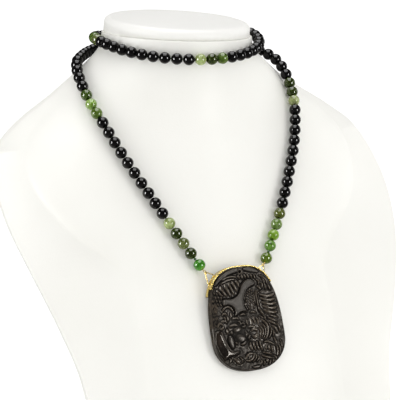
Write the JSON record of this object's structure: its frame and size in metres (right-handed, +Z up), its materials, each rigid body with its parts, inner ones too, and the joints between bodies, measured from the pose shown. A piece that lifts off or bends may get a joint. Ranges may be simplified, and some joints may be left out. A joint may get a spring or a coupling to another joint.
{
  "type": "jade bead necklace on a neck bust",
  "caption": "Long string of black and green jade beads worn doubled on a white neck bust, with a carved dark jade plaque hung from a gold strip.",
  "frame": {"origin": "on the neck bust's flat base, in its plane of symmetry, under the chest", "axes": "+Z up along the neck, +X towards the wearer's left, -Y out of the chest"},
  "size_m": [0.2896, 0.2029, 0.3074],
  "materials": {
    "bust_leather": "smooth white leatherette",
    "cap_leather": "smooth white leatherette over a pad",
    "black_jade": "polished",
    "green_jade": "polished, slightly translucent",
    "thread": "twisted silk",
    "plaque_jade": "carved and polished, with pitted rind at one side",
    "gold": "polished yellow gold"
  },
  "bodies": {
    "root": {"neck_bust": "bust_leather", "neck_cap": "cap_leather", "black_beads": "black_jade", "green_beads": "green_jade", "thread": "thread", "pendant": "plaque_jade", "gold_cap": "gold", "wire_guard_left": "gold", "wire_guard_right": "gold"}
  },
  "joints": []
}
